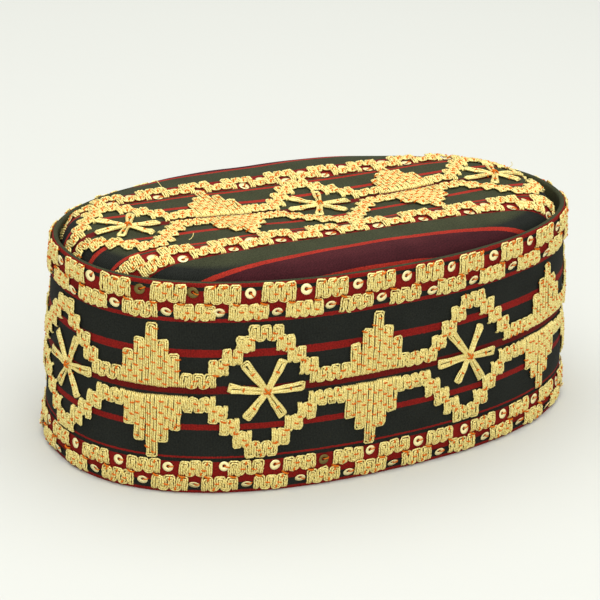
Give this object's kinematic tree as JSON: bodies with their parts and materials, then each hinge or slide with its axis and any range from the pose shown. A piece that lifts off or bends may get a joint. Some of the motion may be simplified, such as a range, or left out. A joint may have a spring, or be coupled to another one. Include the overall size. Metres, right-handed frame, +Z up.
{
  "type": "embroidered songkok cap",
  "caption": "Oval brimless cap: a stiff upright band of striped cloth with couched gold embroidery and sequins, and a soft padded crown sewn inside its rim.",
  "frame": {"origin": "middle of the cap on the plane that its hem rests on", "axes": "+X along the cap's long way, to its narrower end; -Y to the front; +Z up, through the crown"},
  "size_m": [0.2298, 0.1362, 0.0917],
  "materials": {
    "band_cloth": "fine ribbed weave, green-black with red stripes, matt",
    "crown_cloth": "fine ribbed weave, dark green with red and maroon stripes, matt",
    "gold_cord": "twisted metallic gold cord, laid in doubled rows",
    "orange_thread": "orange sewing thread, slight sheen",
    "sequin": "thin pale gold discs, polished"
  },
  "bodies": {
    "root": {"side_band": "band_cloth", "crown_top": "crown_cloth"}
  },
  "joints": []
}
